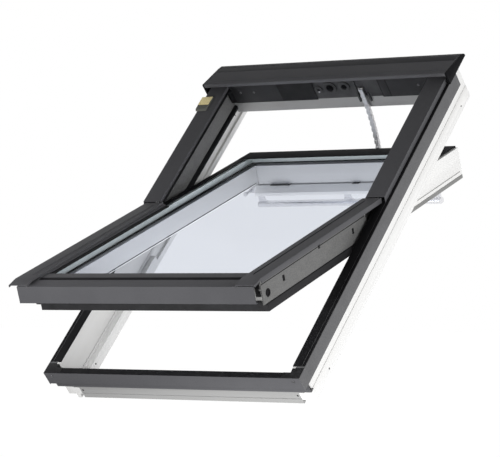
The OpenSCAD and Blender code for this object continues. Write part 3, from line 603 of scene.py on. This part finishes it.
def slab(shell, outline, thickness, place, edge=smallPiece["edge"]):
    # outline in the local plane, raised along local z
    base = [shell.verts.new((x, y, 0)) for x, y in outline]
    raised = vertsIn(bmesh.ops.extrude_face_region(shell, geom=[shell.faces.new(base)])["geom"])
    bmesh.ops.translate(shell, verts=raised, vec=(0, 0, thickness))
    whole = set(base + raised)
    bmesh.ops.transform(shell, matrix=place, verts=list(whole))
    rims = [rim for rim in shell.edges if rim.verts[0] in whole and rim.verts[1] in whole]
    bmesh.ops.bevel(shell, geom=rims, offset=edge, segments=smallPiece["edgeSteps"], profile=0.5,
                    affect="EDGES", material=-1, clamp_overlap=True)


def turned(shell, profile, place, steps=smallPiece["turnSteps"]):
    # profile as radius and height, turned once round local z
    before = set(shell.verts)
    line = [shell.verts.new((radius, 0, height)) for radius, height in profile]
    rims = [shell.edges.new(pair) for pair in zip(line, line[1:])]
    bmesh.ops.spin(shell, geom=line + rims, cent=(0, 0, 0), axis=(0, 0, 1), dvec=(0, 0, 0),
                   angle=math.tau, steps=steps, use_merge=True)
    bmesh.ops.transform(shell, matrix=place, verts=[vert for vert in shell.verts if vert not in before])


def oblong(left, right, low, high):
    return [(left, low), (right, low), (right, high), (left, high)]


def sized(profile, radius, height):
    # a profile given in shares of its radius and height
    return [(radius * across, height * up) for across, up in profile]


facing = {"out": Matrix.Identity(4), "down": Matrix.Rotation(math.radians(90), 4, "X"),
          "room": Matrix.Rotation(math.pi, 4, "X"), "right": Matrix.Rotation(math.radians(90), 4, "Y"),
          "left": Matrix.Rotation(math.radians(-90), 4, "Y")}
sides = (-1, 1)
outward = {-1: "left", 1: "right"}
inward = {-1: "right", 1: "left"}


def at(plane, place, way):
    return plane @ Matrix.Translation(place) @ facing[way]


screw = {"radius": 0.004, "height": 0.002, "arm": 0.0021, "halfArm": 0.00055, "recess": 0.0012,
         "dome": [(1, 0), (1, 0.4), (0.9, 0.75), (0.66, 1)], "rimAbove": 0.9,
         "plate": [-0.313, -0.267, 0.279], "plateV": 0.521, "plateN": -0.024,
         "corner": 0.378, "cornerV": -0.639, "cornerN": -0.012}


def crossHead(shell, place):
    # domed head with a cross recess
    height, arm, half = screw["height"], screw["arm"], screw["halfArm"]
    before = set(shell.verts)
    turned(shell, sized(screw["dome"], screw["radius"], height), Matrix.Identity(4))
    rimLow = screw["rimAbove"] * height
    rim = [edge for edge in shell.edges if edge.is_boundary and edge.verts[0] not in before
           and edge.verts[0].co.z > rimLow and edge.verts[1].co.z > rimLow]
    outline = [(half, arm), (half, half), (arm, half), (arm, -half), (half, -half), (half, -arm),
               (-half, -arm), (-half, -half), (-arm, -half), (-arm, half), (-half, half), (-half, arm)]
    cross = [shell.verts.new((x, y, height)) for x, y in outline]
    crossRim = [shell.edges.new((cross[i - 1], cross[i])) for i in range(len(cross))]
    bmesh.ops.bridge_loops(shell, edges=rim + crossRim)
    sunk = bmesh.ops.extrude_edge_only(shell, edges=crossRim)["geom"]
    bmesh.ops.translate(shell, verts=vertsIn(sunk), vec=(0, 0, -screw["recess"]))
    bmesh.ops.contextual_create(shell, geom=[item for item in sunk if isinstance(item, bmesh.types.BMEdge)])
    bmesh.ops.transform(shell, matrix=place, verts=[vert for vert in shell.verts if vert not in before])


def makeScrews():
    shell = bmesh.new()
    for x in screw["plate"]:
        crossHead(shell, at(roofPlane, (x, screw["plateV"], screw["plateN"]), "down"))
    for side in sides:
        corner = (side * screw["corner"], screw["cornerV"], screw["cornerN"])
        crossHead(shell, at(roofPlane, corner, "down"))
    piece = finishPiece("coverScrews", shell, "screwSteel", "frame")
    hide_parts("cover_screws")


plugs = {"face": 0.352, "slots": [-0.129, -0.498], "slotN": -0.0335, "slotHalf": (0.0078, 0.0053),
         "slotDepth": 0.0008, "drain": (-0.581, -0.043),
         "ring": [(0.0108, 0.0), (0.0108, 0.0024), (0.0099, 0.0032), (0.0076, 0.0032), (0.0062, 0.0012),
                  (0.0, 0.0009)]}


def makePlugs():
    # dark inserts behind the cladding's slots, painted shade inside the slots, and a dished plug in its
    # drain hole
    shell = bmesh.new()
    high, half = plugs["slotHalf"]
    for side in sides:
        face = side * plugs["face"]
        for v in plugs["slots"]:
            place = at(sashPlane, (face, v, plugs["slotN"]), outward[side])
            slab(shell, oblong(-high, high, -half, half), plugs["slotDepth"], place)
        turned(shell, plugs["ring"], at(sashPlane, (face, *plugs["drain"]), outward[side]))
    finishPiece("cladPlugs", shell, "sashRubber", "sash")


noseClip = {"v": -0.609, "thickness": 0.004,
            "outline": [(0.3375, -0.044), (0.3515, -0.044), (0.3515, -0.030), (0.3465, -0.030),
                        (0.3465, -0.024), (0.3515, -0.024), (0.3515, -0.004), (0.3375, -0.004)]}


def makeNoseClips():
    # black clips over the end grain of the side rails, under the bottom cover
    shell = bmesh.new()
    for side in sides:
        outline = [(side * x, n) for x, n in noseClip["outline"]]
        slab(shell, outline, noseClip["thickness"], at(sashPlane, (0, noseClip["v"], 0), "down"))
    finishPiece("noseClips", shell, "sashPlastic", "sash")


def sideStrip(shell, strip, face, way):
    # a strip that lies on a side face of the sash
    turn = {"left": 1, "right": -1}[way]
    low, high = strip["n"]
    outline = oblong(turn * low, turn * high, *strip["v"])
    slab(shell, outline, strip["proud"], at(sashPlane, (face, 0, 0), way), strip["edge"])


clipTab = {"face": 0.354, "n": (-0.020, -0.009), "v": (-0.313, -0.305), "proud": 0.0015, "edge": 0.0003}
cladSeam = {"face": 0.354, "n": (-0.0150, -0.0130), "v": (-0.607, -0.060), "proud": 0.0004, "edge": 0.0001}
sealSeam = {"face": 0.354, "n": (-0.0705, -0.0672), "v": (-0.588, -0.055), "proud": 0.0004, "edge": 0.0001}
# a dark line along the lower inner edge of each side rail: painted shade
rimPaintedShadeLine = {"face": 0.297, "n": (-0.0722, -0.0700), "v": (-0.525, 0.445), "proud": 0.0005, "edge": 0.0001}
railLinePaintedLight = {"face": 0.352, "n": (-0.0689, -0.0669), "v": (0.030, 0.500), "proud": 0.0004, "edge": 0.0001}


def makeSideStrips(name, strips, ways, finish):
    shell = bmesh.new()
    for side in sides:
        for strip in strips:
            sideStrip(shell, strip, side * strip["face"], ways[side])
    finishPiece(name, shell, finish, "sash")


tape = {"x": 0.3182, "v": (-0.5742, 0.4782), "n": (-0.0169, -0.0166), "width": 0.0130}


def makeGlazingTape():
    # a flat black border on the rim of the inner pane, inside the spacer bar
    shell = bmesh.new()
    low, high = tape["n"]
    corners = oblong(-tape["x"], tape["x"], *tape["v"])
    base = shell.faces.new([shell.verts.new((x, v, 0)) for x, v in corners])
    base.normal_update()
    bmesh.ops.inset_region(shell, faces=[base], thickness=tape["width"], use_boundary=True,
                           use_even_offset=True)
    bmesh.ops.delete(shell, geom=[base], context="FACES")
    grown = bmesh.ops.extrude_face_region(shell, geom=shell.faces[:])["geom"]
    bmesh.ops.translate(shell, verts=vertsIn(grown), vec=(0, 0, high - low))
    bmesh.ops.transform(shell, matrix=sashPlane @ Matrix.Translation((0, 0, low)), verts=shell.verts)
    finishPiece("glazingTape", shell, "trimCoat", "sash")


coverLip = {"x": (0.3245, 0.3450), "v": (0.014, 0.500), "n": 0.0057, "thickness": 0.0012}


def makeCoverLips():
    # rubber lips that reach out from under the upper covers
    shell = bmesh.new()
    first, last = coverLip["x"]
    for side in sides:
        outline = oblong(side * first, side * last, *coverLip["v"])
        slab(shell, outline, coverLip["thickness"], at(roofPlane, (0, 0, coverLip["n"]), "out"))
    finishPiece("coverLips", shell, "roofRubber", "frame")


plateEndPaintedShade = {"x": (0.3432, 0.3612), "v": 0.5225, "n": (-0.062, 0.0285), "thickness": 0.0014}


def makePaintedShadePlateEnds():
    # black end pieces that close the drive's cover plate against the linings, painted shade over the gap
    # there
    shell = bmesh.new()
    first, last = plateEndPaintedShade["x"]
    for side in sides:
        outline = oblong(side * first, side * last, *plateEndPaintedShade["n"])
        slab(shell, outline, plateEndPaintedShade["thickness"], at(roofPlane, (0, plateEndPaintedShade["v"], 0), "down"))
    finishPiece("plateEndsPaintedShade", shell, "roofPlastic", "frame")


panel = {"v": 0.521, "n": (-0.060, 0.027), "thickness": 0.0008, "edge": 0.0002,
         "spans": [(-0.340, -0.182), (0.156, 0.177), (0.1815, 0.340)]}


def makePanels():
    # separate sheets on the cover plate, left and right of the drive
    shell = bmesh.new()
    place = at(roofPlane, (0, panel["v"], 0), "down")
    for span in panel["spans"]:
        slab(shell, oblong(*span, *panel["n"]), panel["thickness"], place, panel["edge"])
    finishPiece("platePanels", shell, "panelPlastic", "frame")


drive = {"floor": 0.5264, "rise": 0.0006, "well": [(1, 0), (1, 0.5), (0.9, 1), (0, 1)],
         "wells": [(-0.011, -0.024, 0.0118), (0.037, -0.022, 0.0088), (-0.051, -0.030, 0.0048)],
         "pin": (-0.050, 0.5226, -0.0355),
         "pinOutline": [(0.0024, 0), (0.0024, 0.0010), (0.0018, 0.0016), (0, 0.0017)]}


def makeDriveDetails():
    # dark discs inside the gear rims, painted shade in their wells, and the bright end of one gear pin
    shell = bmesh.new()
    for x, n, radius in drive["wells"]:
        profile = sized(drive["well"], radius, drive["rise"])
        turned(shell, profile, at(roofPlane, (x, drive["floor"], n), "down"))
    finishPiece("driveWellsPaintedShade", shell, "capPlastic", "frame")
    shell = bmesh.new()
    turned(shell, drive["pinOutline"], at(roofPlane, drive["pin"], "down"))
    finishPiece("drivePin", shell, "chainSteel", "frame")


hoodBead = {"on": "hood", "plane": roofPlane, "finish": "roofCoat", "halfLength": 0.395, "middle": 0.508,
            "slope": -0.23, "height": 0.0356, "edge": 0.0001,
            "profile": [(-0.0028, -0.0004), (-0.0018, 0.0009), (0, 0.0014), (0.0018, 0.0009),
                        (0.0028, -0.0004)]}
# a band in the darker coat across the hood's top: painted shade
hoodShade = {"on": "hood", "plane": roofPlane, "finish": "hoodBack", "halfLength": 0.393, "middle": 0.5755,
             "slope": -0.23, "height": 0.0201, "edge": 0.0001,
             "profile": [(-0.0130, -0.0006), (-0.0125, 0.0003), (0.0125, 0.0003), (0.0130, -0.0006)]}
# a black line in the groove on the bottom cover's nose: painted shade
noseGroovePaintedShade = {"on": "sash_cover_bottom", "plane": sashPlane, "finish": "trimCoat", "halfLength": 0.318,
              "middle": -0.616, "slope": 0.142, "height": 0.0063, "edge": 0.0001,
              "profile": [(-0.0065, -0.0006), (-0.0060, 0.0004), (0.0060, 0.0004), (0.0065, -0.0006)]}


def makeCrossBead(name, bead):
    # a bead with a given profile, laid from side to side on a sloping sheet
    shell = bmesh.new()
    outline = [(-bead["height"] - bead["slope"] * across - rise, bead["middle"] + across)
               for across, rise in bead["profile"]]
    place = at(bead["plane"], (-bead["halfLength"], 0, 0), "right")
    slab(shell, outline, 2 * bead["halfLength"], place, bead["edge"])
    finishPiece(name, shell, bead["finish"], bodyOf[bead["on"]])


coverLine = {"v": (-0.612, -0.022), "n": 0.0158}
coverBead = {"x": (0.3365, 0.3405), "thickness": 0.0014, "edge": 0.0006, "finish": "sashCoat"}
# a black line in the groove beside each cover bead: painted shade
coverGroovePaintedShade = {"x": (0.3410, 0.3435), "thickness": 0.0005, "edge": 0.0001, "finish": "trimCoat"}


def makeCoverLines(name, line):
    # a line along the top of each side cover of the sash
    shell = bmesh.new()
    first, last = line["x"]
    place = at(sashPlane, (0, 0, coverLine["n"]), "out")
    for side in sides:
        outline = oblong(side * first, side * last, *coverLine["v"])
        slab(shell, outline, line["thickness"], place, line["edge"])
    finishPiece(name, shell, line["finish"], "sash")


paintedBoreShade = {"radius": 0.0027, "wall": 0.0004, "length": 0.012, "steps": 20, "sillX": 0.338, "sillV": -0.605,
          "n": -0.101, "sideV": [-0.507, 0.511], "outer": 0.390, "inner": [0.346, 0.363]}


def makePaintedBoreShades():
    # dark sleeves that line the mouths of the fixing holes: painted shade inside the holes
    shell = bmesh.new()
    radius, bore, length = paintedBoreShade["radius"], paintedBoreShade["radius"] - paintedBoreShade["wall"], paintedBoreShade["length"]
    ring = [(radius, 0), (radius, -length), (bore, -length), (bore, 0), (radius, 0)]
    for side in sides:
        mouths = [(side * paintedBoreShade["sillX"], paintedBoreShade["sillV"], "down")]
        for v, inner in zip(paintedBoreShade["sideV"], paintedBoreShade["inner"]):
            mouths += [(side * paintedBoreShade["outer"], v, outward[side]), (side * inner, v, inward[side])]
        for x, v, way in mouths:
            turned(shell, ring, at(roofPlane, (x, v, paintedBoreShade["n"]), way), paintedBoreShade["steps"])
    finishPiece("holeMouthPaintedShade", shell, "roofPlastic", "frame")


catch = {"v": (0.446, 0.460), "face": -0.078, "thickness": 0.0023,
         "spans": [(-0.252, -0.185), (0.026, 0.048)]}


def makeCatches():
    # black catches of the vent flap on the room face of the top rail
    shell = bmesh.new()
    low, high = catch["v"]
    place = at(sashPlane, (0, low, catch["face"]), "room")
    for span in catch["spans"]:
        slab(shell, oblong(*span, 0, low - high), catch["thickness"], place)
    finishPiece("flapCatches", shell, "sashPlastic", "sash")


barEnd = {"x": 0.303, "v": 0.455, "n": -0.138, "radius": 0.0082, "apart": 0.004, "thickness": 0.0012,
          "steps": 12}


def makeBarEnds():
    # oval caps on the ends of the control bar
    shell = bmesh.new()
    radius, apart = barEnd["radius"], barEnd["apart"]
    turns = [math.pi * step / barEnd["steps"] for step in range(barEnd["steps"] + 1)]
    outline = [(radius * math.cos(turn), apart + radius * math.sin(turn)) for turn in turns]
    outline += [(-radius * math.cos(turn), -apart - radius * math.sin(turn)) for turn in turns]
    for side in sides:
        place = at(sashPlane, (side * barEnd["x"], barEnd["v"], barEnd["n"]), outward[side])
        slab(shell, outline, barEnd["thickness"], place)
    finishPiece("barEnds", shell, "bracketGrey", "vent_flap")


makeScrews()
makePlugs()
makeNoseClips()
# tongues of the cover clips, and black beads in the joints above and under the side sheets
makeSideStrips("clipTabs", [clipTab], outward, "sashPlastic")
makeSideStrips("cladSeams", [cladSeam, sealSeam], outward, "sashRubber")
makeGlazingTape()
# dark beads on the inner faces of the side rails, painted shade along their lower inner edge, and grey lines
# on their outer faces above the pivot, painted light
makeSideStrips("rimLines", [rimPaintedShadeLine], inward, "sashRubber")
makeSideStrips("railLines", [railLinePaintedLight], outward, "sealGrey")
makeCoverLips()
makePaintedShadePlateEnds()
makePanels()
makeDriveDetails()
makeCrossBead("hoodBead", hoodBead)
makeCrossBead("hoodShade", hoodShade)
makeCrossBead("noseGroovePaintedShade", noseGroovePaintedShade)
makeCoverLines("coverBeads", coverBead)
makeCoverLines("coverGroovesPaintedShade", coverGroovePaintedShade)
makePaintedBoreShades()
makeCatches()
makeBarEnds()
print("small pieces made")


# floor, light and background

white = (1, 1, 1, 1)
studio = {"floorDrop": 0.004, "floorSize": 14.0, "floorColour": (0.86, 0.86, 0.86), "floorRoughness": 0.9,
          "floorSpecular": 0.1, "floorGlow": 1.07, "floorShare": 0.92,
          "floorDark": 0.22, "floorBright": 1.80, "floorRun": (-0.35, 0.22), "floorWay": (0.50, 0.87, 0.0),
          "skyDark": 0.05, "skyBright": 1.15, "skyRun": (-0.22, 0.68), "skyWay": (0.55, 0.75, -0.35)}
lamps = {"keyRight": {"place": (5.8, -0.6, 0.9), "aim": (0.0, 0.35, 0.45), "size": (3.0, 1.6),
                      "power": 78.0},
         "fillFront": {"place": (-0.25, -1.6, 0.11), "aim": (0.0, -0.2, 0.14), "size": (1.5, 0.24),
                       "power": 25.0}}


def alongWay(tree, space, way, run, low, high):
    # a value that rises smoothly along one direction
    place = tree.nodes.new("ShaderNodeTexCoord")
    reach = tree.nodes.new("ShaderNodeVectorMath")
    reach.operation = "DOT_PRODUCT"
    reach.inputs[1].default_value = way
    rise = tree.nodes.new("ShaderNodeMapRange")
    rise.interpolation_type = "SMOOTHSTEP"
    rise.inputs["From Min"].default_value, rise.inputs["From Max"].default_value = run
    rise.inputs["To Min"].default_value = low
    rise.inputs["To Max"].default_value = high
    tree.links.new(place.outputs[space], reach.inputs[0])
    tree.links.new(reach.outputs["Value"], rise.inputs["Value"])
    return rise.outputs["Result"]


def makeFloor():
    ground = bmesh.new()
    bmesh.ops.create_grid(ground, x_segments=1, y_segments=1, size=studio["floorSize"])
    bmesh.ops.translate(ground, verts=ground.verts, vec=(0, 0, cadBox[0][2] - studio["floorDrop"]))
    mesh = bpy.data.meshes.new("floor")
    ground.to_mesh(mesh)
    ground.free()
    floor = bpy.data.objects.new("floor", mesh)
    bpy.context.scene.collection.objects.link(floor)
    finish, tree, shader = startFinish("floorWhite", studio["floorColour"], studio["floorRoughness"],
                                       specular=studio["floorSpecular"])
    path = tree.nodes.new("ShaderNodeLightPath")
    glow = tree.nodes.new("ShaderNodeEmission")
    spread = alongWay(tree, "Object", studio["floorWay"], studio["floorRun"],
                      studio["floorDark"], studio["floorBright"])
    strength = tree.nodes.new("ShaderNodeMapRange")
    strength.inputs["To Min"].default_value = studio["floorGlow"]
    tree.links.new(spread, strength.inputs["To Max"])
    tree.links.new(path.outputs["Is Diffuse Ray"], strength.inputs["Value"])
    tree.links.new(strength.outputs["Result"], glow.inputs["Strength"])
    surfaceFrom(tree, studio["floorShare"], shader.outputs["BSDF"], glow.outputs["Emission"],
                "Material Output")
    mesh.materials.append(finish)


def makeWorld():
    # white where it is looked at; the light it gives comes from the right and from behind
    world = bpy.data.worlds.new("studio")
    bpy.context.scene.world = world
    world.use_nodes = True
    tree = world.node_tree
    soft = tree.nodes["Background"]
    soft.inputs["Color"].default_value = white
    spread = alongWay(tree, "Generated", studio["skyWay"], studio["skyRun"],
                      studio["skyDark"], studio["skyBright"])
    tree.links.new(spread, soft.inputs["Strength"])
    backdrop = tree.nodes.new("ShaderNodeBackground")
    backdrop.inputs["Color"].default_value = white
    path = tree.nodes.new("ShaderNodeLightPath")
    looked = mathNode(tree, "MAXIMUM", path.outputs["Is Camera Ray"], path.outputs["Is Transmission Ray"])
    looked = mathNode(tree, "MAXIMUM", looked, path.outputs["Is Glossy Ray"])
    surfaceFrom(tree, looked, soft.outputs["Background"], backdrop.outputs["Background"], "World Output")


def makeLamps():
    for name, soft in lamps.items():
        lamp = bpy.data.lights.new(name, "AREA")
        lamp.shape = "RECTANGLE"
        lamp.size, lamp.size_y = soft["size"]
        lamp.energy = soft["power"]
        holder = bpy.data.objects.new(name, lamp)
        holder.location = soft["place"]
        aim = Vector(soft["aim"]) - Vector(soft["place"])
        holder.rotation_euler = aim.to_track_quat("-Z", "Y").to_euler()
        bpy.context.scene.collection.objects.link(holder)


makeFloor()
makeWorld()
makeLamps()
print("studio set")


# camera

view = {"place": (3.82885, -5.72362, 0.23806), "forward": (-0.53576, 0.84393, 0.02725), "roll": 0.21,
        "lens": 189.13, "sensor": 36.0, "farthest": 60.0}


def makeCamera():
    lens = bpy.data.cameras.new("camera")
    lens.lens = view["lens"]
    lens.sensor_width = view["sensor"]
    lens.sensor_fit = "HORIZONTAL"
    lens.clip_end = view["farthest"]
    holder = bpy.data.objects.new("camera", lens)
    look = Vector(view["forward"]).to_track_quat("-Z", "Y").to_matrix().to_4x4()
    roll = Matrix.Rotation(math.radians(view["roll"]), 4, "Z")
    holder.matrix_world = Matrix.Translation(view["place"]) @ look @ roll
    bpy.context.scene.collection.objects.link(holder)
    bpy.context.scene.camera = holder


makeCamera()
bpy.context.scene.view_settings.view_transform = "Standard"
print("camera set")
